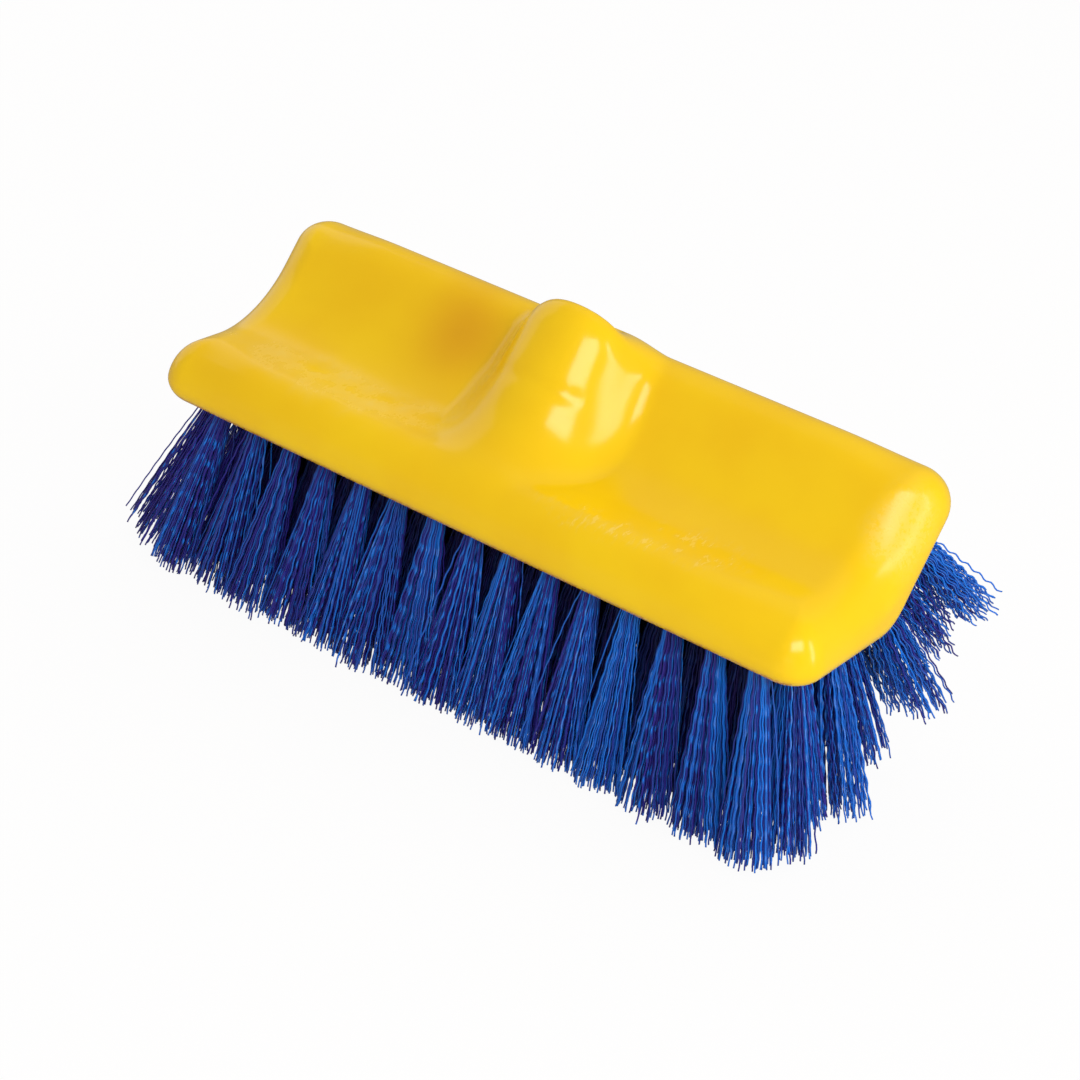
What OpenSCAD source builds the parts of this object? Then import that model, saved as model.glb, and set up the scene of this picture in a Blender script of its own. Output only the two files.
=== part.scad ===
// Deck scrub brush with two scrubbing faces
// One moulded block, bent along its length, carries eight rows of bristle tufts.
// The front four rows scrub the floor, and the fan behind them reaches up a skirting.
// X runs along the block, the front is towards -Y, and the front tufts stand on Z = 0.

/* [Block] */
// Length of the block
block_l = 254; // [200:1:320]
// Thickness of the block, whose edges are round by half of this
block_t = 23; // [20:0.5:28]
// Width of the front face under the block, from the front lip to the bend
front_w = 57; // [54:0.5:70]
// Width of the rear face under the block, from the bend to the rear lip
rear_w = 51; // [48:0.5:64]
// Angle by which the rear face turns up from the front face
bend_a = 55.5; // [45:0.5:60]
// Depth of the flat on the round of the bend, which carries the middle row
bend_flat = 1.5; // [1:0.1:2]
// Radius of the trough along the top
trough_r = 37; // [24:1:44]

/* [Handle socket] */
// Radius of the boss around the socket
boss_r = 24; // [20:0.5:26]
// Height of the boss axis over the rear slope of the trough
boss_lift = -2; // [-3:0.5:2]
// Distance that the boss end stands past the rear lip
boss_out = 4; // [2:0.5:10]
// Radius of the rounding at the boss end
boss_round = 7; // [3:0.5:9]
// Radius of the socket bore, at the crests of its thread
socket_r = 8.2; // [7:0.1:9.4]
// Depth of the socket
socket_depth = 45; // [30:1:50]
// Height of the socket axis over the rear slope of the trough
socket_lift = 5; // [3:0.5:7]
// Width of the lead-in at the socket mouth
socket_lead = 1.5; // [0.5:0.1:2.5]

/* [Tufts] */
// Spacing of the tufts along a row
tuft_pitch = 15; // [12:0.1:18]
// Least distance from the end of the block to a tuft
end_margin = 14; // [13:0.5:20]
// Distance from the front lip to the front row
front_margin = 13.5; // [12:0.5:14]
// Distance from the rear lip to the rear row
rear_margin = 17.9; // [12.5:0.1:18]
// Distance from the bend to the nearest row on each face
first_row = 12.3; // [12:0.1:13]
// Length of the front tufts below the block, which is how high the block stands
front_trim = 62; // [45:1:75]
// Depth of the rear trim below the rear face
rear_trim = 57; // [40:1:70]
// Lean of the end tufts towards the ends of the block
end_lean = 13; // [0:1:15]
// Distance of a strand's tip from its tuft's middle, along and across the row
tip_spread = 4.6; // [3:0.1:5]
// Radius of one strand
strand_r = 1.15; // [0.8:0.05:1.2]
// Radius of a strand's tip, as a share of that
strand_taper = 0.8; // [0.5:0.05:1]
// Radius of a tuft hole
hole_r = 3.6; // [3:0.1:4]
// Depth of a tuft hole, from the face
hole_depth = 14; // [11.5:0.5:16]
// Gap between a tuft and its hole, and between a backing strip and its seat
fit_gap = 0.3; // [0.2:0.05:0.4]
// Thickness of the slice of backing that a row is set in
strip_t = 3.2; // [3:0.1:3.5]
// Wall of the block between two rows' slices
strip_wall = 1.4; // [1:0.1:2]

/* [Anchors] */
// Gap between each end of an anchor and the wall of its hole
anchor_gap = 0.5; // [0.4:0.1:0.8]
// Height of an anchor, along its hole
anchor_h = 2; // [1:0.1:2.5]
// Thickness of the anchor wire
anchor_t = 0.6; // [0.4:0.1:1]

/* [Hidden] */
$fn = 64;

yellow = [0.95, 0.78, 0.07];
blue = [0.10, 0.22, 0.62];
steel = "silver";

edge_r = block_t / 2;
// A few hundredths that keep the skins of the bend from lying exactly in those of the slabs
seam = 0.05;
// The round of the bend starts this far from the corner where the two faces would meet
bend_in = edge_r * tan(bend_a / 2);
bend_cut = edge_r / cos(bend_a / 2) - edge_r + bend_flat;

// Rows 1 to 4 are on the front face, row 5 on the bend and rows 6 to 8 on the rear face
FRONT_ROWS = 4;
BEND_ROW = 5;
LAST_ROW = 8;
ROWS = [1:LAST_ROW];
front_pitch = (front_w - front_margin - first_row) / (FRONT_ROWS - 1);
rear_pitch = (rear_w - rear_margin - first_row) / (LAST_ROW - BEND_ROW - 1);
// Lean of each row towards the rear, from square to its own face
row_lean = [-8, -5, 1, 8, -8, -22.5, -15.5, -8.5];

// Tufts in each row, one more in every second row, so that the rows are staggered
gaps = floor((block_l - 2 * end_margin) / tuft_pitch);
function tufts(row) = row % 2 == 1 ? gaps : gaps + 1;
function tuft_x(row, i) = (i - (tufts(row) - 1) / 2) * tuft_pitch;
last_x = tuft_x(2, tufts(2) - 1);
function side_lean(x) = end_lean * x * abs(x) / (last_x * last_x);

// Each face has its own frame, with the row along X and the tufts out along -Z
function face_turn(row) = row < BEND_ROW ? 0 : row == BEND_ROW ? bend_a / 2 : bend_a;
function face_place(row) =
    row < BEND_ROW ? [-first_row - (FRONT_ROWS - row) * front_pitch, 0]
    : row == BEND_ROW ? [0, bend_cut]
    : [first_row + (row - BEND_ROW - 1) * rear_pitch, 0];
function trim(row) =
    row < BEND_ROW ? front_trim : row == BEND_ROW ? (front_trim + rear_trim) / 2 : rear_trim;
// Where the middle of a tuft's trimmed end is in that frame
function tip(row, x) =
    let (f = row_lean[row - 1], s = side_lean(x), deep = trim(row))
    [x + deep * tan(s) / cos(f), deep * tan(f), -deep];

// Strands of one tuft, as signs along and across the row
STRANDS = [[-1, -1], [1, -1], [-1, 1], [1, 1]];
root_spread = (hole_r - strand_r) / sqrt(2) - 0.1;
function ring(middle, spread, side, r) =
    [for (a = [90, 210, 330])
        middle + [side[0] * spread + r * cos(a), side[1] * spread + r * sin(a), 0]];

// The furthest tips to the front and to the rear, which centre the brush on Y = 0
function tip_y(row, side) =
    let (g = face_turn(row), r = strand_r * strand_taper)
    let (y = face_place(row)[0] + tip(row, 0)[1] + side * tip_spread + (side < 0 ? -r / 2 : r))
    y * cos(g) + (trim(row) - face_place(row)[1]) * sin(g);
front_y = min(tip_y(1, -1), -front_w);
rear_y = max([for (row = ROWS) tip_y(row, 1)]);
home = [0, -(front_y + rear_y) / 2, front_trim];

// Puts a piece drawn in the bend's frame in its place
module at_home() {
    translate(home) children();
}

// Turns a piece drawn flat on the front face so that it lies on the rear face
module on_rear_face() {
    rotate([bend_a, 0, 0]) children();
}

// Puts a piece drawn in a row's own frame on the block
module on_face(row) {
    rotate([face_turn(row), 0, 0])
        translate([0, face_place(row)[0], face_place(row)[1]])
            children();
}

// Puts a piece drawn along +Z in the hole of a tuft, with Z = 0 on the face
module in_hole(row, x) {
    on_face(row)
        translate([x, 0, 0])
            rotate([row_lean[row - 1], 0, 0])
                rotate([0, -side_lean(x), 0])
                    children();
}

// A rectangle with fully round ends, long along X
module slot_shape(long, wide) {
    square([long - wide, wide], center = true);
    for (side = [-1, 1])
        translate([side * (long - wide) / 2, 0])
            circle(d = wide);
}

// A flat stretch of the block from one Y to another, round at both ends of its length
module slab(from, to) {
    translate([0, from, edge_r])
        rotate([-90, 0, 0])
            linear_extrude(height = to - from)
                slot_shape(block_l, block_t);
}

// The round along an edge of the block, and along the outside of its bend
module lip(y, thick = block_t) {
    long = block_l + thick - block_t;
    translate([0, y, edge_r])
        rotate([0, 90, 0])
            rotate_extrude()
                intersection() {
                    rotate(90) slot_shape(long, thick);
                    translate([0, -long / 2]) square([thick, long]);
                }
}

// The fillet along the trough, round at its ends as the slabs are. It ends before the
// round of either lip, so a sharp bend takes a smaller one.
module trough_fillet() {
    flat_end = min(front_w, rear_w) - edge_r - 1;
    fillet_r = min(trough_r, flat_end / tan(bend_a / 2) - block_t);
    centre_z = block_t + fillet_r + seam;
    translate([0, -centre_z * tan(bend_a / 2), centre_z])
        rotate([90, 0, 90])
            rotate([0, 0, -90])
                rotate_extrude(angle = bend_a)
                    translate([fillet_r + edge_r, 0])
                        rotate(90) slot_shape(block_l - 2 * seam, block_t);
}

// The boss that fills the middle of the trough and holds the handle
module boss() {
    low = -front_w;
    long = rear_w + boss_out - low;
    floor_z = 2;
    big = 4 * front_w;
    intersection() {
        on_rear_face()
            translate([0, low, block_t + boss_lift])
                rotate([-90, 0, 0])
                    rotate_extrude() {
                        square([boss_r, long - boss_round]);
                        square([boss_r - boss_round, long]);
                        translate([boss_r - boss_round, long - boss_round])
                            intersection() {
                                circle(r = boss_round);
                                square(boss_round);
                            }
                    }
        translate([-big / 2, -big / 2, floor_z]) cube(big);
        on_rear_face()
            translate([-big / 2, -big / 2, floor_z]) cube(big);
    }
}

// The blind hole for the threaded end of a handle
module socket() {
    over = 1;
    on_rear_face()
        translate([0, rear_w + boss_out, block_t + socket_lift])
            rotate([90, 0, 0]) {
                translate([0, 0, -over])
                    cylinder(r = socket_r, h = socket_depth + over);
                cylinder(r1 = socket_r + socket_lead, r2 = socket_r, h = socket_lead);
            }
}

strip_w = min(front_pitch, rear_pitch) - strip_wall - 2 * fit_gap;
function strip_length(row) = (tufts(row) - 1) * tuft_pitch + strip_w;

// The seat and the holes of one row
module row_cuts(row) {
    long = strip_length(row) + 2 * fit_gap;
    wide = strip_w + 2 * fit_gap;
    on_face(row)
        translate([-long / 2, -wide / 2, -strip_t])
            cube([long, wide, 2 * strip_t]);
    for (i = [0:tufts(row) - 1])
        in_hole(row, tuft_x(row, i))
            cylinder(r = hole_r, h = hole_depth);
}

module block() {
    color(yellow)
        at_home()
            difference() {
                union() {
                    slab(edge_r - front_w, -bend_in);
                    lip(edge_r - front_w);
                    lip(-bend_in, block_t + 2 * seam);
                    trough_fillet();
                    on_rear_face() {
                        slab(bend_in, rear_w - edge_r);
                        lip(rear_w - edge_r);
                    }
                    boss();
                }
                rotate([bend_a / 2, 0, 0])
                    translate([-block_l, -block_t, bend_cut - 2 * block_t])
                        cube([2 * block_l, 2 * block_t, 2 * block_t]);
                socket();
                for (row = ROWS) row_cuts(row);
            }
}

// One row in its own frame: a slice of the backing with its strands, as one closed shell
// of triangles. The slice's lower face is a grid with a cell for each strand, two cells
// across the row.
function grid_x(row, k) =
    k == 0 ? -strip_length(row) / 2
    : k == 2 * tufts(row) ? strip_length(row) / 2
    : tuft_x(row, 0) + (k - 1) * tuft_pitch / 2;

function row_points(row) =
    let (n = 2 * tufts(row), half = strip_w / 2)
    concat(
        [for (j = [-1:1]) for (k = [0:n]) [grid_x(row, k), j * half, 0]],
        [for (j = [-1, 1]) for (k = [0, n]) [grid_x(row, k), j * half, strip_t]],
        [for (i = [0:tufts(row) - 1]) for (s = STRANDS)
            for (p = ring([tuft_x(row, i), 0, 0], root_spread, s, strand_r)) p],
        [for (i = [0:tufts(row) - 1]) for (s = STRANDS)
            for (p = ring(tip(row, tuft_x(row, i)), tip_spread, s, strand_r * strand_taper)) p]
    );

function row_faces(row) =
    let (
        n = 2 * tufts(row),
        grid = function (j, k) (j + 1) * (n + 1) + k,
        back = 3 * (n + 1),
        roots = back + 4,
        tips = roots + 12 * tufts(row)
    )
    concat(
        // Round each strand's root, and the strand itself with its tip
        [for (i = [0:tufts(row) - 1]) for (m = [0:3])
            let (
                s = STRANDS[m],
                k = 2 * i + (s[0] + 1) / 2,
                j = (s[1] - 1) / 2,
                a = grid(j, k),
                b = grid(j, k + 1),
                c = grid(j + 1, k + 1),
                d = grid(j + 1, k),
                r = roots + 12 * i + 3 * m,
                t = tips + 12 * i + 3 * m
            )
            for (f = [
                [a, b, r + 1], [b, r + 2, r + 1], [b, c, r + 2], [c, r, r + 2],
                [c, d, r], [d, r + 1, r], [d, a, r + 1],
                [r + 1, r + 2, t + 2], [r + 1, t + 2, t + 1],
                [r + 2, r, t], [r + 2, t, t + 2],
                [r, r + 1, t + 1], [r, t + 1, t],
                [t, t + 1, t + 2]
            ]) f],
        // Long sides of the slice
        [for (k = [0:n - 1]) [back, grid(-1, k + 1), grid(-1, k)]],
        [[back, back + 1, grid(-1, n)]],
        [for (k = [0:n - 1]) [back + 2, grid(1, k), grid(1, k + 1)]],
        [[back + 2, grid(1, n), back + 3]],
        // Short sides
        [for (j = [-1, 0]) [back, grid(j, 0), grid(j + 1, 0)]],
        [[back, grid(1, 0), back + 2]],
        [for (j = [-1, 0]) [back + 1, grid(j + 1, n), grid(j, n)]],
        [[back + 1, back + 3, grid(1, n)]],
        // Back
        [[back, back + 2, back + 3], [back, back + 3, back + 1]]
    );

// A row with the folded root of each tuft, which starts inside the slice
module tuft_row(row) {
    start = 0.55 * strip_t;
    end = hole_depth - anchor_h - 2 * fit_gap;
    color(blue)
        at_home()
            union() {
                on_face(row)
                    polyhedron(points = row_points(row), faces = row_faces(row), convexity = 10);
                for (i = [0:tufts(row) - 1])
                    in_hole(row, tuft_x(row, i))
                        translate([0, 0, start])
                            cylinder(r = hole_r - fit_gap, h = end - start);
            }
}

// The flat wires that pin the folded tufts of a row at the bottoms of their holes
module tuft_anchors(row) {
    wide = 2 * (hole_r - anchor_gap);
    color(steel)
        at_home()
            for (i = [0:tufts(row) - 1])
                in_hole(row, tuft_x(row, i))
                    translate([-wide / 2, -anchor_t / 2, hole_depth - anchor_h - fit_gap])
                        cube([wide, anchor_t, anchor_h]);
}

block();
tuft_row(1);  // tuft_row_1
tuft_row(2);  // tuft_row_2
tuft_row(3);  // tuft_row_3
tuft_row(4);  // tuft_row_4
tuft_row(5);  // tuft_row_5
tuft_row(6);  // tuft_row_6
tuft_row(7);  // tuft_row_7
tuft_row(8);  // tuft_row_8
tuft_anchors(1);  // tuft_anchors_1
tuft_anchors(2);  // tuft_anchors_2
tuft_anchors(3);  // tuft_anchors_3
tuft_anchors(4);  // tuft_anchors_4
tuft_anchors(5);  // tuft_anchors_5
tuft_anchors(6);  // tuft_anchors_6
tuft_anchors(7);  // tuft_anchors_7
tuft_anchors(8);  // tuft_anchors_8
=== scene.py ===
# %% [markdown]
# A deck scrub brush, built as a set of pieces in a measured frame.
#
# The brush is three kinds of thing: one yellow moulded block, tufts of crimped blue filament,
# and the small wire anchors that hold the tufts. The CAD model gives every piece its place.
# Here the block is modelled again with its soft fillets, and each row of tufts filament by
# filament, because that is what the eye reads first on a brush.

# %% Load the frame
import math

import bpy
import numpy as np
from mathutils import Matrix, Vector


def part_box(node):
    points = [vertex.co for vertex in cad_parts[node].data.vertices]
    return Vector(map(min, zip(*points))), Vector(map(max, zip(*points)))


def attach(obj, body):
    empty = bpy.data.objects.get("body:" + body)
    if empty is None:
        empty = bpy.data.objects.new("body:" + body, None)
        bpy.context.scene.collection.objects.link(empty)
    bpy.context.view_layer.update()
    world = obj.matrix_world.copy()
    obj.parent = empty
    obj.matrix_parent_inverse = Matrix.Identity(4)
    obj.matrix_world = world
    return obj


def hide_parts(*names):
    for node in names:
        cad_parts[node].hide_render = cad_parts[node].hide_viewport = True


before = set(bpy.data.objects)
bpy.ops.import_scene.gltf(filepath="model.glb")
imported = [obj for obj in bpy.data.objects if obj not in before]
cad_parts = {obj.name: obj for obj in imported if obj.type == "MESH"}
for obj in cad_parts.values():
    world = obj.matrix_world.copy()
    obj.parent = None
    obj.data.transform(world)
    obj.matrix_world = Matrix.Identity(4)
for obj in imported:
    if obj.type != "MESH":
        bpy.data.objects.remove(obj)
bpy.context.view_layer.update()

print("CAD nodes:", len(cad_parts))

# %% [markdown]
# All shapes are worked out in millimetres in the bend's own frame: X along the block, Y to the
# rear, Z up from the front face under the block, and the origin on the line where the front
# and rear faces would meet. The block's CAD box tells where that frame lies in the scene.

# %% The bend's frame
MM = 0.001
FRONT_W = 57.0
low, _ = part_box("block")
BEND = np.array([0.0, low.y / MM + FRONT_W, low.z / MM])


def to_scene(points):
    """Points in the bend's frame, in millimetres, as points of the scene in metres."""
    return (np.asarray(points) + BEND) * MM


print("the bend lies at", np.round(BEND, 2), "mm")

# %% [markdown]
# The camera comes first, because every later choice is judged through it. It looks down on
# the brush from the front right, and is rolled a little, as in the photograph: the front face
# of the brush is level, and the picture is not. The aim, the place and the focal length come
# from a fit of the block's outline, so the lens is a long one.

# %% The camera
CAMERA_PLACE = (385.8, -629.1, 359.1)
AIM = Vector((-0.4677, 0.7563, -0.4575))
UP = Vector((-0.3756, 0.2984, 0.8774))
LENS = 84.04

camera = bpy.data.objects.new("camera", bpy.data.cameras.new("camera"))
bpy.context.scene.collection.objects.link(camera)
back = -AIM.normalized()
right = UP.cross(back).normalized()
turn = Matrix((right, back.cross(right), back)).transposed().to_4x4()
camera.matrix_world = Matrix.Translation(Vector(to_scene(CAMERA_PLACE))) @ turn
camera.data.lens = LENS
camera.data.sensor_width = 36.0
camera.data.clip_start, camera.data.clip_end = 0.05, 20.0
bpy.context.scene.camera = camera
print("camera at", np.round(to_scene(CAMERA_PLACE), 3))

# %% [markdown]
# The block is one moulding with no sharp edge anywhere: a trough on top, a rounded bend below,
# a boss that grows out of the trough, and lips that are rounded more on top than below. Boxes
# with bevels would show seams where those roundings meet. A distance field has none: each
# surface is a number that says how far a point is outside it, and surfaces are joined with
# rounded maximums and minimums, so every fillet is one radius in the code.

# %% Rounded joins of distances
def inside_both(a, b, r):
    """The overlap of two shapes, with the edge between them rounded to radius r."""
    return np.minimum(np.maximum(a, b), -r) + np.hypot(np.maximum(a + r, 0), np.maximum(b + r, 0))


def either(a, b, r):
    """Both shapes together, with a fillet of radius r between them."""
    return np.maximum(np.minimum(a, b), r) - np.hypot(np.maximum(r - a, 0), np.maximum(r - b, 0))


def blend_step(x, start, end):
    """0 before start, 1 after end, and smooth between."""
    t = np.clip((x - start) / (end - start), 0, 1)
    return t * t * (3 - 2 * t)


# %% The block's sizes
HALF_L = 127.0
REAR_W = 51.0
BEND_A = math.radians(55.5)
FRONT_T = 22.0
REAR_T = 24.4
TROUGH_R = 37.0
UNDER_R = 16.9
PLAN_R = 12.0
LIP_TOP_R = 12.5
END_TOP_R = 16.5
END_TOP_FROM, END_TOP_TO = 88.0, 116.0
EDGE_LOW_R = 7.5
MOUTH_EDGE_R, HOLE_EDGE_R = 0.8, 0.35

# the boss is a round shaft with a narrower cap at its slanted end, and a fillet at its foot
BOSS_R = 25.5
BOSS_MID = 21.0
BOSS_END = REAR_W - 2.6
BOSS_ROUND = 6.0
BOSS_UNDER = 3.0
BOSS_FOOT, BOSS_FOOT_R = 12.5, 10.0
BOSS_FILLET = 14.0
CAP_R, CAP_ROUND, CAP_SLANT = 24.0, 11.0, 0.2
CAP_TAPER, TAPER_FROM = 0.2, 15.0

# a shallow sink mark runs over the boss and fades out on its right side
SINK_AT, SINK_WIDE, SINK_DEEP = 23.0, 3.0, 0.65
SINK_UP_TO, SINK_GONE = 13.0, 18.0

SOCKET_MID = 28.0
SOCKET_R = 8.0
SOCKET_DEEP = 39.0
THREAD_PITCH = 5.08
THREAD_DEEP = 1.0
BORE_R = SOCKET_R + THREAD_DEEP + 0.3
MOUTH_LOW = CAP_SLANT * BORE_R

cos_b, sin_b = math.cos(BEND_A), math.sin(BEND_A)


def rear_face(y, z):
    """Distance along the rear face from the bend, and height over that face."""
    return y * cos_b + z * sin_b, z * cos_b - y * sin_b


# %% [markdown]
# The tufts sit in blind holes that are drilled along the way each tuft leans. The rows fan out
# from the front to the rear, alternate rows are shifted by half a pitch, and the tufts near the
# ends of the block lean outwards. The same numbers drill the holes and grow the bristles.

# %% Where the tufts are
TUFT_PITCH = 15.0
TUFTS_IN_ROW = (15, 16)
ROWS = range(8)
BEND_ROW = 4
FIRST_ROW = 12.3
ROW_PITCH = 10.4
LAST_X = (TUFTS_IN_ROW[1] - 1) / 2 * TUFT_PITCH
ROW_LEAN = np.radians([-8, -5, 1, 8, -8, -22.5, -15.5, -8.5])
END_LEAN = math.radians(13)
FRONT_TRIM, REAR_TRIM = 62.0, 57.0
HOLE_R, HOLE_DEEP = 3.4, 14.0
FLAT_DEEP = 2.9

# in the photograph every second row sits a little to the left, and one corner tuft leans out
SHIFT = (0.0, -2.5)
CORNER_ROW, CORNER_X = 1, 5 - LAST_X
CORNER_LEAN = math.radians(-7)


def row_frame(row):
    """A row's face: its middle, the way across it, and the way out of the block."""
    turn, along, deep = BEND_A, FIRST_ROW + (row - BEND_ROW - 1) * ROW_PITCH, 0.0
    if row < BEND_ROW:
        turn, along = 0.0, -FIRST_ROW - (BEND_ROW - 1 - row) * ROW_PITCH
    elif row == BEND_ROW:
        turn, along, deep = BEND_A / 2, 0.0, FLAT_DEEP
    across = np.array([0, math.cos(turn), math.sin(turn)])
    out = np.array([0, math.sin(turn), -math.cos(turn)])
    return across * along - out * deep, across, out


def tuft_xs(row):
    """Where a row's tufts stand along the block."""
    count = TUFTS_IN_ROW[row % 2]
    return (np.arange(count) - (count - 1) / 2) * TUFT_PITCH + SHIFT[row % 2]


def tuft_way(row, x):
    """The unit vector along which a tuft leaves its hole."""
    middle, across, out = row_frame(row)
    side = END_LEAN * x * np.abs(x) / LAST_X ** 2
    if row == CORNER_ROW:
        side = side + CORNER_LEAN * (x < CORNER_X)
    lean = ROW_LEAN[row]
    x, side = np.broadcast_arrays(np.asarray(x, float), side)
    return (np.sin(side)[..., None] * np.array([1.0, 0, 0])
            + np.cos(side)[..., None] * (math.sin(lean) * across + math.cos(lean) * out))


def trim_depth(row):
    """How far under its face a row is trimmed."""
    if row == BEND_ROW:
        return (FRONT_TRIM + REAR_TRIM) / 2
    return FRONT_TRIM if row < BEND_ROW else REAR_TRIM


print("tufts:", sum(len(tuft_xs(row)) for row in ROWS))

# %% The block's faces and holes
def top_distance(y, z):
    """How far a point is above the trough and the flats on both sides of it."""
    centre_z = FRONT_T + TROUGH_R
    centre_y = (cos_b * centre_z - REAR_T - TROUGH_R) / sin_b
    along, height = rear_face(y, z)
    centre_along = rear_face(centre_y, centre_z)[0]
    trough = TROUGH_R - np.hypot(y - centre_y, z - centre_z)
    rear = np.where(along > centre_along, height - REAR_T, trough)
    return np.where(y < centre_y, z - FRONT_T, rear)


def under_distance(y, z):
    """How far a point is below the two faces and the round between them."""
    along, height = rear_face(y, z)
    reach = UNDER_R * math.tan(BEND_A / 2)
    bend = np.hypot(y + reach, z - UNDER_R) - UNDER_R
    rear = np.where(along > reach, -height, bend)
    return np.where(y < -reach, -z, rear)


FAR_OFF = 50.0


def holes_distance(p):
    """Distance to the nearest tuft hole, from outside it."""
    nearest = np.full(len(p), FAR_OFF)
    for row in ROWS:
        xs = tuft_xs(row)
        middle, across, out = row_frame(row)
        nearby = np.clip(np.rint((p[:, 0] - xs[0]) / TUFT_PITCH), 0, len(xs) - 1).astype(int)
        x = xs[nearby]
        way = tuft_way(row, x)
        from_mouth = p - middle - np.stack([x, 0 * x, 0 * x], 1)
        deep = -(from_mouth * way).sum(1)
        radial = np.linalg.norm(from_mouth + deep[:, None] * way, axis=1)
        nearest = np.minimum(nearest, np.maximum(radial - HOLE_R, deep - HOLE_DEEP))
    return nearest


# %% The block's distance field
def boss_distance(x, z, along, height, under):
    """How far a point is outside the boss."""
    sink = SINK_DEEP * np.exp(-((along - SINK_AT) / SINK_WIDE) ** 2)
    sink = sink * blend_step(-x, -SINK_GONE, -SINK_UP_TO)
    shaft = np.hypot(x, height - BOSS_MID) - BOSS_R + sink
    taper = 1 + CAP_TAPER * blend_step(along, TAPER_FROM, BOSS_END)
    end = along - BOSS_END - CAP_SLANT * (height - SOCKET_MID)
    cap = inside_both(np.hypot(taper * x, height - SOCKET_MID) - CAP_R, end, CAP_ROUND)
    boss = inside_both(inside_both(shaft, cap, BOSS_ROUND), under + BOSS_UNDER, BOSS_ROUND)
    return inside_both(boss, BOSS_FOOT - z, BOSS_FOOT_R)


def block_distance(p):
    """How far a point is outside the block, with its boss, socket and holes."""
    x, y, z = p.T
    along, height = rear_face(y, z)
    top, under = top_distance(y, z), under_distance(y, z)
    ends = np.abs(x) - HALF_L
    sides = inside_both(inside_both(ends, -y - FRONT_W, PLAN_R), along - REAR_W, PLAN_R)
    near_end = blend_step(np.abs(x), END_TOP_FROM, END_TOP_TO)
    top_r = LIP_TOP_R + (END_TOP_R - LIP_TOP_R) * near_end
    body = inside_both(inside_both(top, sides, top_r), under, EDGE_LOW_R)
    body = either(body, boss_distance(x, z, along, height, under), BOSS_FILLET)
    bore = np.hypot(x, height - SOCKET_MID) - BORE_R
    socket = np.maximum(bore, BOSS_END - SOCKET_DEEP - along)
    body = inside_both(body, -socket, MOUTH_EDGE_R)
    return inside_both(body, -holes_distance(p), HOLE_EDGE_R)


# %% [markdown]
# A distance field becomes a mesh with surface nets: the space is cut into small cells, each cell
# that the surface crosses gets one vertex at the middle of its crossings, and the vertices of
# four neighbouring cells make a quad. The vertices are then walked down the field's own slope,
# which puts them on the true surface and leaves no stair steps.

# %% Surface nets
MEMORY_PARTS = 8


def picked(ranges, others=slice(None)):
    """Slices for three axes: the ranges that are given for some, and the same for the others."""
    return tuple(ranges.get(axis, others) for axis in range(3))


def net_points(field, lowest, cell):
    """One vertex for each cell that the surface crosses, and the number of each such cell."""
    counts = np.array(field.shape)
    solid = field < 0
    total, hits = np.zeros((*(counts - 1), 3)), np.zeros(counts - 1)
    for axis in range(3):
        u, v = [k for k in range(3) if k != axis]
        first, second = picked({axis: slice(0, -1)}), picked({axis: slice(1, None)})
        a, b = field[first], field[second]
        crossed = solid[first] != solid[second]
        share = np.where(crossed, a / np.where(crossed, a - b, 1), 0)
        for du in (0, 1):
            for dv in (0, 1):
                edge = picked({u: slice(du, counts[u] - 1 + du), v: slice(dv, counts[v] - 1 + dv)})
                hits += crossed[edge]
                total[..., axis] += crossed[edge] * share[edge]
                total[..., u] += crossed[edge] * du
                total[..., v] += crossed[edge] * dv
    used = hits > 0
    index = np.full(used.shape, -1)
    index[used] = np.arange(used.sum())
    points = lowest + cell * (np.argwhere(used) + total[used] / hits[used][:, None])
    return points, index


def net_quads(field, index):
    """A quad for each grid edge that the surface crosses, from the four cells round it."""
    solid, inner = field < 0, slice(1, -1)
    quads = []
    for axis in range(3):
        u, v = (axis + 1) % 3, (axis + 2) % 3
        before = solid[picked({axis: slice(0, -1)}, inner)]
        behind = solid[picked({axis: slice(1, None)}, inner)]
        for mask, order in ((before & ~behind, 1), (~before & behind, -1)):
            at = np.argwhere(mask)
            at[:, u] += 1
            at[:, v] += 1
            ring = []
            for du, dv in ((1, 1), (0, 1), (0, 0), (1, 0))[::order]:
                cell_at = at.copy()
                cell_at[:, u] -= du
                cell_at[:, v] -= dv
                ring.append(index[tuple(cell_at.T)])
            quads.append(np.stack(ring, 1))
    return np.concatenate(quads)


def surface_net(distance, lowest, highest, cell):
    """Points and quads of the zero of a distance field inside a box."""
    counts = np.ceil((highest - lowest) / cell).astype(int) + 1
    axes = [lowest[k] + cell * np.arange(counts[k]) for k in range(3)]
    grid = np.stack(np.meshgrid(*axes, indexing="ij"), -1).reshape(-1, 3)
    field = [distance(part) for part in np.array_split(grid, MEMORY_PARTS)]
    field = np.concatenate(field).reshape(counts)
    points, index = net_points(field, lowest, cell)
    return points, net_quads(field, index)


# %% From points to a mesh
LEAST_SLOPE, LONGEST_STEP = 0.2, 1.0


def onto_surface(distance, points, rounds=4, h=0.05):
    """Walks points down the slope of a distance field until they lie on its zero."""
    for _ in range(rounds):
        slope = np.stack([(distance(points + h * e) - distance(points - h * e)) / (2 * h)
                          for e in np.eye(3)], 1)
        size = np.maximum((slope ** 2).sum(1), LEAST_SLOPE)
        step = (distance(points) / size)[:, None] * slope
        points = points - np.clip(step, -LONGEST_STEP, LONGEST_STEP)
    return points


def new_mesh(name, points, faces):
    """A smooth-shaded object from points of the bend's frame."""
    mesh = bpy.data.meshes.new(name)
    mesh.from_pydata(to_scene(points), [], faces)
    mesh.polygons.foreach_set("use_smooth", np.full(len(mesh.polygons), True))
    mesh.update()
    thing = bpy.data.objects.new(name, mesh)
    bpy.context.scene.collection.objects.link(thing)
    return thing


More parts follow.
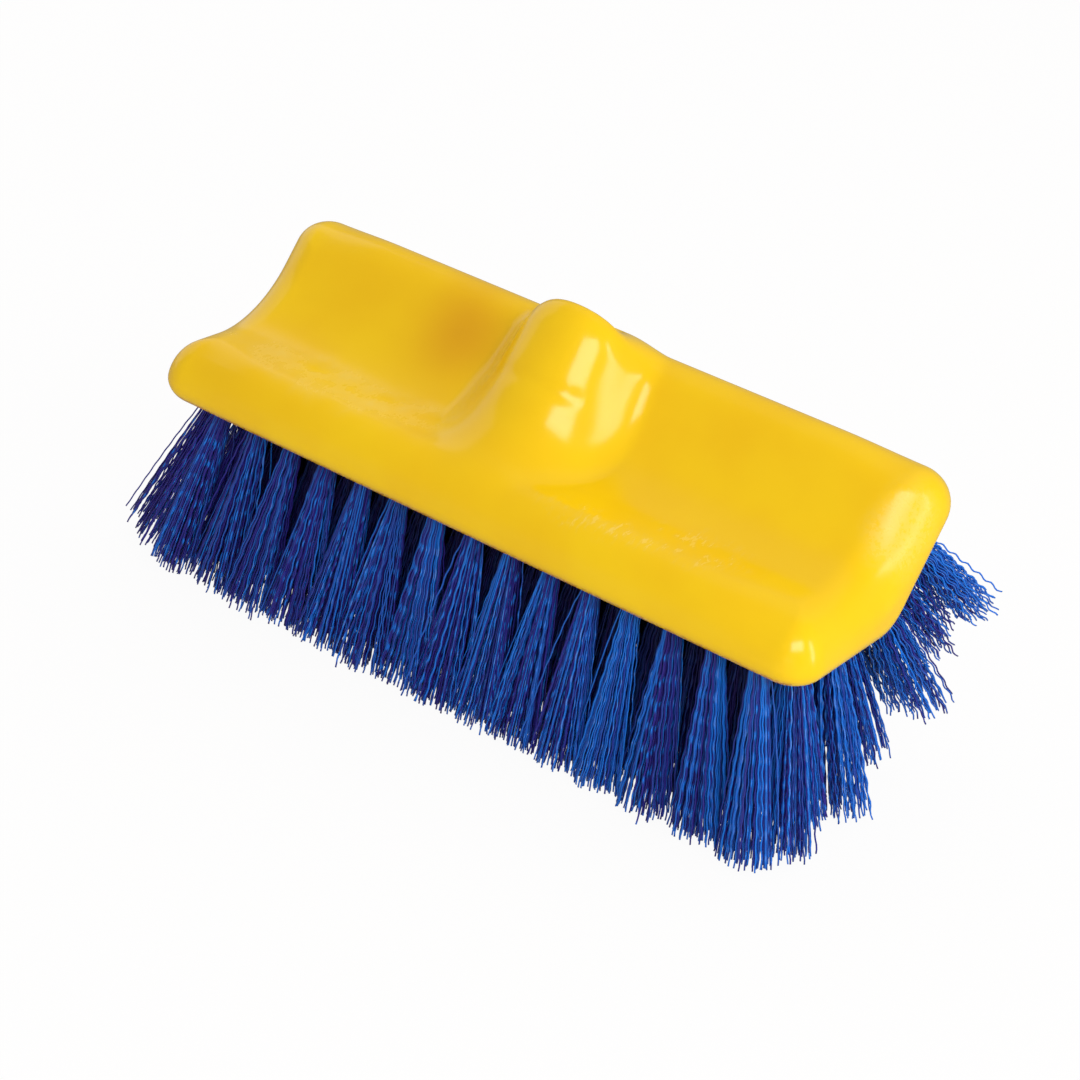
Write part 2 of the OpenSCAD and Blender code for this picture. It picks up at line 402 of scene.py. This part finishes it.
# %% Mould the block
CELL = 1.15
block_low = np.array([-HALF_L - 2.2, -FRONT_W - 2.3, -2.4])
block_high = np.array([HALF_L + 2.2, 34.0, 74.0])
points, quads = surface_net(block_distance, block_low, block_high, CELL)
points = onto_surface(block_distance, points)
print("block:", len(points), "vertices,", len(quads), "quads")

# %% [markdown]
# The handle screws into a moulded thread. The field above only leaves a round hole for it, wide
# enough for the roots of the thread, because cells a millimetre wide would blur a thread. The
# thread itself is a tube whose radius rises and falls once a pitch as it goes round, which is
# how a screw thread is defined, and it joins the block as a lining.

# %% The thread
FLANK_FROM, FLANK_TO = 0.12, 0.32
THREAD_FROM, THREAD_FULL = 0.5, 4.0
TURN_STEPS, DEEP_STEP, FLOOR_GAP = 48, 0.42, 1.5
ENTRY_R = BORE_R + 0.2
ENTRY_DEEPS = (1.0, 1.3, 1.5)


def thread_radius(deep, angle):
    """Radius of the lining: a flat-topped wave that climbs one pitch for each turn."""
    phase = (deep / THREAD_PITCH - angle / (2 * math.pi)) % 1
    wave = blend_step(np.abs(phase - 0.5), FLANK_FROM, FLANK_TO)
    fade = blend_step(deep, THREAD_FROM, THREAD_FULL)
    return SOCKET_R + THREAD_DEEP * (1 - wave * fade)


# %% The threaded lining
deeps = np.arange(0, SOCKET_DEEP - MOUTH_LOW - FLOOR_GAP, DEEP_STEP)
angles = np.arange(TURN_STEPS) * 2 * math.pi / TURN_STEPS
deep, angle = np.meshgrid(deeps, angles, indexing="ij")
radius = thread_radius(deep, angle)
radius[0] = ENTRY_R
for ring, ring_deep in enumerate(ENTRY_DEEPS):
    deep[ring] = ring_deep
along, height = BOSS_END - MOUTH_LOW - deep, SOCKET_MID + radius * np.sin(angle)
lining = np.stack([radius * np.cos(angle), along * cos_b - height * sin_b,
                   along * sin_b + height * cos_b], -1).reshape(-1, 3)

number = np.arange(len(lining)).reshape(len(deeps), TURN_STEPS) + len(points)
after = np.roll(number, -1, axis=1)
lining_quads = np.stack([number[:-1], number[1:], after[1:], after[:-1]], -1).reshape(-1, 4)
faces = quads.tolist() + lining_quads.tolist() + [number[-1].tolist()]
block = new_mesh("block_moulding", np.concatenate([points, lining]), faces)
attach(block, "root")
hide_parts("block")
print("lining:", len(lining_quads), "quads")

# %% [markdown]
# Three marks on the block belong to its shape, so they are worked out here and stored on its
# vertices for the finish to use: the rims of the holes, a round of painted shade in the trough
# to the left of the boss, where the boss would shade it, and a thin line of painted shade along
# the bottom edge of the front lip.

# %% Marks on the block
RIM_FROM, RIM_FULL, RIM_LOW = 1.6, 0.2, 1.5
PAINTED_SHADE_X, PAINTED_SHADE_ALONG = -44, 31
PAINTED_SHADE_LONG, PAINTED_SHADE_WIDE, PAINTED_SHADE_HIGH = 16, 18, 15
LIP_SHADE_Z, LIP_SHADE_FROM, LIP_SHADE_FULL, LIP_SHADE_DEEP = 1.5, 2.2, 0.8, 4

x, y, z = points.T
along, height = rear_face(y, z)
under = under_distance(y, z)
rim = blend_step(-np.abs(holes_distance(points)), -RIM_FROM, -RIM_FULL)
# painted shade: a soft round of darkening in the trough left of the boss, where the boss would
# shade it
shade_spot = -((x - PAINTED_SHADE_X) / PAINTED_SHADE_LONG) ** 2 - ((along - PAINTED_SHADE_ALONG) / PAINTED_SHADE_WIDE) ** 2
# painted shade: a thin band along the bottom edge of the front lip
lip_shade_line = blend_step(-np.abs(z - LIP_SHADE_Z), -LIP_SHADE_FROM, -LIP_SHADE_FULL)
marks = {"hole_edge": rim * (under > -RIM_LOW),
         "painted_shade": np.exp(shade_spot) * (under < -PAINTED_SHADE_HIGH),
         "lip_edge_shade": lip_shade_line * (y < LIP_SHADE_DEEP - FRONT_W)}
for name, value in marks.items():
    layer = block.data.attributes.new(name, "FLOAT", "POINT")
    layer.data.foreach_set("value", np.concatenate([value, np.zeros(len(lining))]))
    print(name, "covers", int((value > 0.5).sum()), "vertices")

# %% [markdown]
# A tuft is a bundle of crimped filament, folded in two and driven into its hole. It leaves the
# hole as a round bundle a little narrower than the hole, and opens out towards its trimmed end
# in a few clumps, with a few strays. The crimp is a small wave along each filament. Neighbours
# nest, so their waves keep nearly in step, and that makes the rows of sparkles across a tuft.
# Hair particles could do this, but plain tubes keep their shape in an export, so each filament
# is a three-sided tube, bent by numpy and shaded smooth.

# %% Filament sizes
rng = np.random.default_rng(24)
FILAMENTS = 96
FILAMENT_R = 0.31
CRIMP_WAVE = 7.4
CRIMP_HIGH = (0.2, 0.23, 0.25, 0.28, 0.32, 0.36, 0.4, 0.44)
ROOT_R = 2.6
ROOT_STEPS, OUT_STEPS = 2, 40
ANCHOR_AT = 11.4
TURN = 2 * math.pi


def disc_points(count, radius):
    """Points spread evenly over a disc, in a sunflower's spiral."""
    k = np.arange(count) + 0.5
    r, a = radius * np.sqrt(k / count), k * math.pi * (3 - math.sqrt(5))
    return np.stack([r * np.cos(a), r * np.sin(a)], 1)


def rotation(angle):
    """A matrix that turns points of a disc about its middle."""
    c, s = math.cos(angle), math.sin(angle)
    return np.array([[c, s], [-s, c]])


# %% The clumps of a tuft
CLUMPS = 9
CLUMP_REACH, CLUMP_UNEVEN, CLUMP_LOOSE = 0.85, 0.12, 0.8
TIP_ALONG, TIP_ACROSS = 11.0, (6.5, 8.5)
TIP_UNEVEN, TUFT_UNEVEN, TIP_MOST = 0.1, 0.6, 12.0
STRAYS, STRAY_FAR = 0.08, 4.5


def clumped_tips(row):
    """Where a tuft's filaments start and end, across it: each one follows the nearest of a few
    clumps, which part from one another, and a few stray."""
    root = disc_points(FILAMENTS, ROOT_R) @ rotation(rng.uniform(0, TURN))
    centres = disc_points(CLUMPS, CLUMP_REACH) @ rotation(rng.uniform(0, TURN))
    centres += rng.normal(0, CLUMP_UNEVEN, centres.shape)
    clump = np.argmin(((root[:, None] / ROOT_R - centres[None]) ** 2).sum(-1), 1)
    inner = root / ROOT_R - centres[clump]
    open_out = centres[clump] * (1 + rng.normal(0, CLUMP_UNEVEN, (CLUMPS, 1)))[clump]
    tip = open_out + CLUMP_LOOSE * inner + rng.normal(0, TIP_UNEVEN, root.shape)
    tip = tip * [TIP_ALONG, TIP_ACROSS[row > 0]] + rng.normal(0, TUFT_UNEVEN, 2)
    stray = rng.random(FILAMENTS) < STRAYS
    tip[stray] += rng.normal(0, STRAY_FAR, (stray.sum(), 2))
    return root, clump, np.clip(tip, -TIP_MOST, TIP_MOST), stray


# %% The crimp
CRIMP_LOOSE, REAR_LOOSE = [0.35, 0.9, 2.0], 0.4
FACING_LOOSE = 0.5
CRIMP_FULL = 0.12
GLINTING, CREST_FROM, CREST_FULL = 0.35, 0.45, 0.95
GLINT_FROM, GLINT_FULL = 0.08, 0.2


def crimp(row, t, length):
    """The sideways waves of a tuft's filaments, and painted glints on the crests of some of them.
    The waves grow outside the hole, and in some tufts they have slipped out of step."""
    loose = rng.choice(CRIMP_LOOSE) if row < BEND_ROW else REAR_LOOSE
    phase = rng.uniform(0, TURN) + rng.normal(0, loose, FILAMENTS)
    facing = rng.uniform(0, TURN) + rng.normal(0, FACING_LOOSE * (1 + loose), FILAMENTS)
    wave = np.sin(TURN * t * length / CRIMP_WAVE + phase[:, None])
    # painted glints: a share of the filaments get a pale mark on each crest of the wave
    crest_glint = (rng.random(FILAMENTS) < GLINTING)[:, None] * blend_step(wave, CREST_FROM, CREST_FULL)
    crest_glint = crest_glint * blend_step(t, GLINT_FROM, GLINT_FULL)
    wave = wave * CRIMP_HIGH[row] * blend_step(t, 0.0, CRIMP_FULL)
    sideways = np.stack([np.cos(facing), np.sin(facing)], 1)
    return wave[..., None] * sideways[:, None], crest_glint


# %% The tones of a tuft
OPEN_ROWS = (0, 7)
TONE, PAINTED_LIGHT_RISE = 0.38, 0.17
FILAMENT_TONE, CLUMP_TONE = 0.24, 0.14
PALE, PALE_BY = 0.16, 0.5
INSIDE_LIGHT, LIGHT_FROM, LIGHT_FULL = 0.12, 0.25, 1.05


def tuft_tones(row, x, t, root, clump, crest_glint):
    """Three numbers for each point: the filament's tone, how far out in the tuft it lies, and how
    much light reaches it. The tone is the filament's own, with a painted brightening towards the
    right-hand end and painted glints on its crests. Tufts in the middle of the brush get painted
    shade at their roots."""
    # painted light: the tone rises towards the right-hand end, where the key light is nearer
    tone = TONE + PAINTED_LIGHT_RISE * x / LAST_X + FILAMENT_TONE * rng.normal(size=(FILAMENTS, 1))
    tone = tone + CLUMP_TONE * rng.normal(size=(CLUMPS, 1))[clump]
    tone = tone + PALE_BY * (rng.random((FILAMENTS, 1)) < PALE)
    # how far out in its tuft a filament lies; the finish paints the outside of a tuft lighter
    outer = np.clip(np.linalg.norm(root, axis=1) / ROOT_R, 0, 1)[:, None] + 0 * t
    open_side = row in OPEN_ROWS or abs(x) > LAST_X - TUFT_PITCH
    reached = 1.0 if open_side else INSIDE_LIGHT
    reached = reached + (1 - reached) * blend_step(t, LIGHT_FROM, LIGHT_FULL)
    return np.stack([np.clip(tone, 0, 1) + crest_glint, outer, reached], -1)


# %% Grow one tuft
CUT_UNEVEN, SHORT, SHORT_BY = 0.02, 0.08, 0.05
OPENING, STRAY_OPENING = ((1.0, 1.35), (0.65, 1.05)), 0.7
BOW, BOW_CLUMP, BOW_OUT = 0.4, 0.5, 0.7


def tuft_paths(row, x):
    """Paths of a tuft's filaments, as points in the bend's frame, and the tones on them."""
    middle, across, out = row_frame(row)
    way = tuft_way(row, x)
    side = np.array([1.0, 0, 0])
    across_way = np.cross(way, side)
    across_way /= np.linalg.norm(across_way)
    side_way = np.cross(across_way, way)
    length = trim_depth(row) / float(way @ out)
    root, clump, tip, stray = clumped_tips(row)

    # t is 0 at the mouth of the hole and 1 at the trimmed end, and a few filaments end early
    s = np.concatenate([np.linspace(-ANCHOR_AT, 0, ROOT_STEPS, endpoint=False) / length,
                        np.linspace(0, 1, OUT_STEPS + 1)])
    cut = 1 - np.abs(rng.normal(0, CUT_UNEVEN, FILAMENTS))
    cut = cut - SHORT_BY * (rng.random(FILAMENTS) < SHORT)
    t = np.where(s[None] > 0, s[None] * cut[:, None], s[None])
    power = np.where(stray, STRAY_OPENING, rng.uniform(*OPENING[row > 0], FILAMENTS))
    opening = np.clip(t, 0, 1) ** power[:, None]
    bow = np.sin(math.pi * np.clip(t, 0, 1)) * BOW
    spread = root[:, None] + (tip - root)[:, None] * opening[..., None]
    bowed = rng.normal(0, BOW_CLUMP, (CLUMPS, 2))[clump] + root / ROOT_R * BOW_OUT
    spread = spread + bowed[:, None] * bow[..., None]
    waves, crest_glint = crimp(row, t, length)
    spread = spread + waves
    paths = (middle + side * x + (t * length)[..., None] * way
             + spread[..., 0:1] * side_way + spread[..., 1:2] * across_way)

    # trim on the row's plane: nothing reaches past it
    over = (paths - middle) @ out - trim_depth(row)
    paths = paths - np.maximum(over, 0)[..., None] * out
    return paths, tuft_tones(row, x, t, root, clump, crest_glint)


# %% Turn paths into tubes
ASIDE = [0.0, 1.0, 0.31]


def tubes(paths, radius):
    """Three-sided tubes along paths of one length, closed at their free ends."""
    count, steps = paths.shape[:2]
    way = paths[:, -1] - paths[:, 0]
    way /= np.linalg.norm(way, axis=1)[:, None]
    first = np.cross(way, ASIDE)
    first /= np.linalg.norm(first, axis=1)[:, None]
    second = np.cross(way, first)
    spin = rng.uniform(0, TURN, count)
    corners = spin[:, None] + np.arange(3) * TURN / 3
    offset = radius * (np.cos(corners)[..., None] * first[:, None]
                       + np.sin(corners)[..., None] * second[:, None])
    points = (paths[:, :, None] + offset[:, None]).reshape(-1, 3)
    base = np.arange(count)[:, None, None] * steps * 3
    ring = np.arange(steps - 1)[None, :, None] * 3
    corner = np.arange(3)[None, None]
    a = base + ring + corner
    b = base + ring + (corner + 1) % 3
    sides = np.stack([a, b, b + 3, a + 3], -1).reshape(-1, 4)
    last = np.arange(count)[:, None] * steps * 3 + (steps - 1) * 3 + np.arange(3)
    return points, sides.tolist() + last.tolist()


# %% Grow the rows
rows = []
for row in ROWS:
    grown = [tuft_paths(row, x) for x in tuft_xs(row)]
    paths = np.concatenate([path for path, tone in grown])
    tones = np.concatenate([tone for path, tone in grown])
    points, faces = tubes(paths, FILAMENT_R)
    piece = new_mesh("bristle_row_%d" % (row + 1), points, faces)
    layer = piece.data.attributes.new("bristle_tone", "FLOAT_VECTOR", "POINT")
    layer.data.foreach_set("vector", np.repeat(tones.reshape(-1, 3), 3, axis=0).ravel())
    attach(piece, "root")
    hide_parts("tuft_row_%d" % (row + 1))
    rows.append(piece)
    print(piece.name, len(paths), "filaments,", len(faces), "faces")

# %% [markdown]
# Materials are written as sums. A socket is wrapped so that + and * on it add Math nodes, and
# every other node comes from one method that takes its kind, its settings and its inputs.

# %% A small shader language
class Socket:
    """An output of a node that can be used in arithmetic."""

    def __init__(self, shader, link):
        self.shader, self.link = shader, link

    def other(self, name):
        """Another output of the same node."""
        return Socket(self.shader, self.link.node.outputs[name])

    def _math(self, operation, a, b=0.0):
        return self.shader.node("Math", {"operation": operation}, {0: a, 1: b})

    def __add__(self, other):
        return self._math("ADD", self, other)

    def __sub__(self, other):
        return self._math("SUBTRACT", self, other)

    def __rsub__(self, other):
        return self._math("SUBTRACT", other, self)

    def __mul__(self, other):
        return self._math("MULTIPLY", self, other)

    __radd__, __rmul__ = __add__, __mul__

    def clamp(self):
        """The value, held between 0 and 1."""
        return self.shader.node("Clamp", {}, {0: self})

    def step(self, start, end):
        """0 before start, 1 after end, smooth between."""
        settings = {"interpolation_type": "SMOOTHSTEP"}
        return self.shader.node("MapRange", settings, {0: self, 1: start, 2: end})


class Shader:
    """The nodes of a material or a world, added by expressions."""

    def __init__(self, owner, surface="Principled BSDF"):
        owner.use_nodes = True
        self.owner, self.tree = owner, owner.node_tree
        self.surface = self.tree.nodes[surface]

    def node(self, kind, settings=None, inputs=None, output=0):
        """A new node of a kind, with its settings and its inputs, as one of its outputs."""
        node = self.tree.nodes.new("ShaderNode" + kind)
        for key, value in (settings or {}).items():
            setattr(node, key, value)
        self._fill(node, inputs or {})
        return Socket(self, node.outputs[output])

    def _fill(self, node, inputs):
        for key, value in inputs.items():
            if isinstance(value, Socket):
                self.tree.links.new(value.link, node.inputs[key])
            else:
                node.inputs[key].default_value = value

    def set(self, **inputs):
        """Gives values or links to the surface's sockets."""
        self._fill(self.surface, {key.replace("_", " "): value for key, value in inputs.items()})

    def mix(self, factor, a, b):
        """Colour a where the factor is 0 and b where it is 1."""
        return self.node("Mix", {"data_type": "RGBA"}, {0: factor, 6: a, 7: b}, 2)

    def place(self):
        """Where a point lies on the object, in metres."""
        return self.node("TexCoord", {}, {}, "Object")

    def stored(self, name):
        """A number that was stored on the mesh's vertices."""
        return self.node("Attribute", {"attribute_name": name}, {}, "Fac")

    def stretch(self, vector, scale, turn=(0, 0, 0)):
        """The place, turned and scaled: a small scale draws a texture out along that axis."""
        return self.node("Mapping", {}, {"Vector": vector, "Scale": scale, "Rotation": turn})

    def noise(self, vector, size_mm, detail=2.0, rough=0.5):
        """Noise whose lumps are about size_mm across, from 0 to 1."""
        inputs = {"Vector": vector, "Scale": 1 / (size_mm * MM)}
        inputs.update({"Detail": detail, "Roughness": rough})
        return self.node("TexNoise", {}, inputs)

    def bump(self, height, distance_mm, strength=1.0, normal=None):
        """A normal that is tilted by a height, on top of another normal if one is given."""
        inputs = {"Height": height, "Distance": distance_mm * MM, "Strength": strength}
        if normal is not None:
            inputs["Normal"] = normal
        return self.node("Bump", {}, inputs)


def material(name):
    return Shader(bpy.data.materials.new(name))


def colour(red, green, blue):
    """A colour as it is picked from a screen, 0 to 255, as the shader's linear values."""
    shares = [c / 255 for c in (red, green, blue)]
    linear = [c / 12.92 if c < 0.0405 else ((c + 0.055) / 1.055) ** 2.4 for c in shares]
    return (*linear, 1.0)


# %% [markdown]
# The block is polypropylene: a strong even yellow with a satin skin. The mould leaves it very
# slightly wavy, with an orange-peel grain that only shows in the highlights. Use leaves pale
# scuffs: the front slope of the trough is rubbed on the left and scratched on the right, and
# the right end is rubbed too. The stored marks add painted shade in the trough beside the boss,
# pale burrs round the holes, and a thin line of painted shade under the front lip. Each mark is
# a mask from 0 to 1 that mixes a colour into the skin.

# %% Noises for the yellow
yellow = material("yellow_moulded_plastic")
place = yellow.place()
cloud = yellow.noise(place, 34, detail=2)
grain = yellow.noise(place, 0.9, detail=3)
peel = yellow.noise(place, 5.0, detail=2)
frost = yellow.noise(place, 1.5, detail=4, rough=0.7)
blotch = yellow.noise(place, 9, detail=1)
ragged = yellow.noise(place, 0.8, detail=2, rough=0.7)
speck = yellow.noise(place, 1.1, detail=3, rough=0.7)
streaks = yellow.stretch(place, (0.9, 0.25, 0.5), turn=(0, 0, math.radians(32)))
hatch = yellow.noise(streaks, 1.4, detail=3, rough=0.7)


# %% Scuffs
PATCH_FULL, PATCH_GONE = 0.3, 1.1
EDGE_LUMPS, EDGE_UNEVEN = 14, 0.8


def patch(centre, size):
    """1 near a point of the block and 0 beyond, in an uneven round patch. Sizes in millimetres."""
    here, radii = tuple(to_scene(centre)), tuple(s * MM for s in size)
    reach = yellow.node("VectorMath", {"operation": "SUBTRACT"}, {0: place, 1: here})
    reach = yellow.node("VectorMath", {"operation": "DIVIDE"}, {0: reach, 1: radii})
    reach = yellow.node("VectorMath", {"operation": "LENGTH"}, {0: reach}, "Value")
    edge = yellow.noise(place, EDGE_LUMPS, detail=1)
    return 1 - (reach + (edge - 0.5) * EDGE_UNEVEN).step(PATCH_FULL, PATCH_GONE)


rubbed = patch((-66, -37, 23), (60, 15, 18)) * blotch.step(0.1, 0.8)
end_rub = patch((121, -1, 36), (12, 18, 18)) * frost.step(0.25, 0.6)
scraped = (patch((72, -38, 23), (26, 13, 18)) + patch((42, -47, 20), (22, 8, 10))).clamp()
rub_grain = 0.5 + 0.3 * frost.step(0.3, 0.7) + 0.3 * hatch.step(0.4, 0.7)
scratches = hatch.step(0.44, 0.72) * blotch.step(0.36, 0.66)
scuff = (rubbed * rub_grain + end_rub * 0.6 + scraped * scratches).clamp()

# %% Yellow moulded plastic
burr = yellow.stored("hole_edge") * ragged.step(0.52, 0.62)
lip_edge_shade = yellow.stored("lip_edge_shade") * speck.step(0.38, 0.56)
skin = yellow.mix(cloud.step(0.3, 0.7), colour(251, 206, 6), colour(255, 214, 9))
# painted shade: a deep ochre in the trough beside the boss, where the boss would cast its shadow
skin = yellow.mix(yellow.stored("painted_shade") * 0.95, skin, colour(236, 178, 14))
# painted shade: speckled dark orange along the bottom edge of the front lip
skin = yellow.mix(lip_edge_shade * 0.85, skin, colour(196, 116, 20))
skin = yellow.mix(scuff * 0.4, skin, colour(250, 228, 140))
skin = yellow.mix(burr * 0.75, skin, colour(250, 238, 190))
waves = yellow.bump(peel * 0.25 + cloud * 3.0, 0.08, 0.5)
relief = yellow.bump(grain * 0.35 + scuff * 0.3 + burr, 0.025, 0.5, waves)
gloss = 0.12 + 0.06 * peel + 0.05 * grain + 0.3 * scuff
yellow.set(Base_Color=skin, Roughness=gloss, Normal=relief, Specular_IOR_Level=0.5)
block.data.materials.append(yellow.owner)
print("yellow:", len(yellow.tree.nodes), "nodes")

# %% [markdown]
# The bristles are a translucent blue polypropylene, some filaments deeper indigo and some
# brighter azure. On top of that tone the outer filaments of a tuft are painted towards azure and
# the inner ones towards indigo: painted light and shade for the light that passes through the
# outside of a tuft and does not reach its inside. The stored tones also carry painted glints on
# the crests of the crimp, and painted deep shade on the roots inside the brush.

# %% Blue filament
INDIGO, AZURE = (0.030, 0.022, 0.28, 1), (0.011, 0.200, 0.84, 1)
SPARKLE, SHADE = (0.14, 0.34, 0.95, 1), (0.014, 0.009, 0.08, 1)

blue = material("blue_crimped_filament")
stored = blue.node("Attribute", {"attribute_name": "bristle_tone"}, {}, "Vector")
own = blue.node("SeparateXYZ", {}, {0: stored})
outer, reached = own.other("Y"), own.other("Z")
# painted light and shade: outer filaments of a tuft lean to azure, inner ones to indigo
fibre = blue.mix((own * 0.8 + outer * 0.28).step(0.3, 1.05), INDIGO, AZURE)
# painted glints: the marked crests turn a pale sparkling blue
fibre = blue.mix(own.step(1.0, 1.6) * 0.5, fibre, SPARKLE)
fibre = blue.mix(reached, SHADE, fibre)
gloss = 0.17 + 0.1 * blue.noise(blue.place(), 3.0)
blue.set(Base_Color=fibre, Roughness=gloss, Specular_IOR_Level=0.5)
for piece in rows:
    piece.data.materials.append(blue.owner)
print("blue:", len(blue.tree.nodes), "nodes")

# %% [markdown]
# The anchors are short pieces of flat drawn wire, deep in the holes. They stay CAD nodes, and
# get a drawn-steel finish: fine lines along the wire.

# %% Drawn wire
wire = material("drawn_wire")
lines = wire.noise(wire.stretch(wire.place(), (0.15, 1, 1)), 0.4, detail=3)
wire.set(Base_Color=wire.mix(lines, colour(150, 152, 155), colour(196, 198, 200)), Metallic=1.0,
         Roughness=0.3 + 0.2 * lines, Normal=wire.bump(lines, 0.02))
for name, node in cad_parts.items():
    if name.startswith("tuft_anchors"):
        node.data.materials.clear()
        node.data.materials.append(wire.owner)

# %% [markdown]
# The light is a plain studio: a white sweep that the camera sees as pure white, a soft, slightly
# warm fill from all round, and six softboxes. The one at the front right is mirrored in the boss
# as pale bars, and the narrow one on the right lies down the right end, so each was placed by
# mirroring the camera's ray in the surface where its bar is. Large lamps would lay a veil over
# the yellow, so three that only have to light the brush are hidden from reflections, and the
# sweep and the room are dimmer in reflections than they look to the camera.

# %% The sweep
WHITE, MIRRORED_SWEEP = (1, 1, 1, 1), (0.27, 0.27, 0.27, 1)
OWN_GLOW = 0.94
SWEEP_HALF = 3

sweep = material("white_sweep")
seen = sweep.node("LightPath", {}, {}, "Is Camera Ray")
mirrored = seen.other("Is Glossy Ray")
sweep.set(Base_Color=(0.95, 0.95, 0.95, 1), Roughness=0.9)
shown = sweep.mix(mirrored, WHITE, MIRRORED_SWEEP)
glow = sweep.node("Emission", {}, {"Color": shown, "Strength": 1.0})
lit = Socket(sweep, sweep.surface.outputs[0])
share = (seen * OWN_GLOW + mirrored).clamp()
both = sweep.node("MixShader", {}, {0: share, 1: lit, 2: glow})
sweep.tree.links.new(both.link, sweep.tree.nodes["Material Output"].inputs["Surface"])

corners = [(x * SWEEP_HALF, y * SWEEP_HALF, 0) for x, y in ((-1, -1), (1, -1), (1, 1), (-1, 1))]
floor_mesh = bpy.data.meshes.new("floor")
floor_mesh.from_pydata(corners, [], [(0, 1, 2, 3)])
floor = bpy.data.objects.new("floor", floor_mesh)
bpy.context.scene.collection.objects.link(floor)
floor.data.materials.append(sweep.owner)
print("sweep:", 2 * SWEEP_HALF, "m wide")

# %% The room
FILL, MIRRORED_ROOM = (0.465, 0.40, 0.375, 1), (0.26, 0.26, 0.26, 1)

bpy.context.scene.world = bpy.data.worlds.new("studio")
bpy.context.scene.world.use_nodes = True
room = Shader(bpy.context.scene.world, "Background")
seen = room.node("LightPath", {}, {}, "Is Camera Ray")
tint = room.mix(seen.other("Is Glossy Ray"), FILL, MIRRORED_ROOM)
room.set(Color=room.mix(seen, tint, WHITE))

# %% Softboxes
LAMP_FAR = 1.3
BRUSH_MIDDLE = Vector((0, 0, 0.1))


def softbox(name, turn, rise, size, strength, mirrored=True):
    """A lamp at a compass angle and height in degrees, facing the brush. A strength of 1 would
    show a surface's own colour by itself."""
    lamp = bpy.data.lights.new(name, "AREA")
    lamp.shape = "RECTANGLE"
    lamp.size, lamp.size_y = size
    lamp.energy = strength * (math.pi * LAMP_FAR) ** 2
    thing = bpy.data.objects.new(name, lamp)
    bpy.context.scene.collection.objects.link(thing)
    thing.visible_glossy = mirrored
    turn, rise = math.radians(turn), math.radians(rise)
    level = math.cos(rise)
    way = Vector((math.cos(turn) * level, math.sin(turn) * level, math.sin(rise)))
    thing.location = way * LAMP_FAR + BRUSH_MIDDLE
    thing.rotation_euler = way.to_track_quat("Z", "Y").to_euler()


softbox("softbox_front_right", -43.5, 35, (0.77, 0.42), 0.3)
softbox("softbox_right", 3, 17, (0.22, 0.8), 0.13)
softbox("low_front", -62, 6, (0.7, 0.25), 0.08, mirrored=False)
softbox("wall_right", 5, 15, (1.4, 1.2), 0.2, mirrored=False)
softbox("ceiling_back", 100, 55, (1.4, 1.4), 0.37, mirrored=False)
softbox("wall_left", 168, 20, (1.2, 1.2), 0.13)
print("softboxes:", len(bpy.data.lights))

# %% The colour transform
bpy.context.scene.view_settings.view_transform = "Standard"
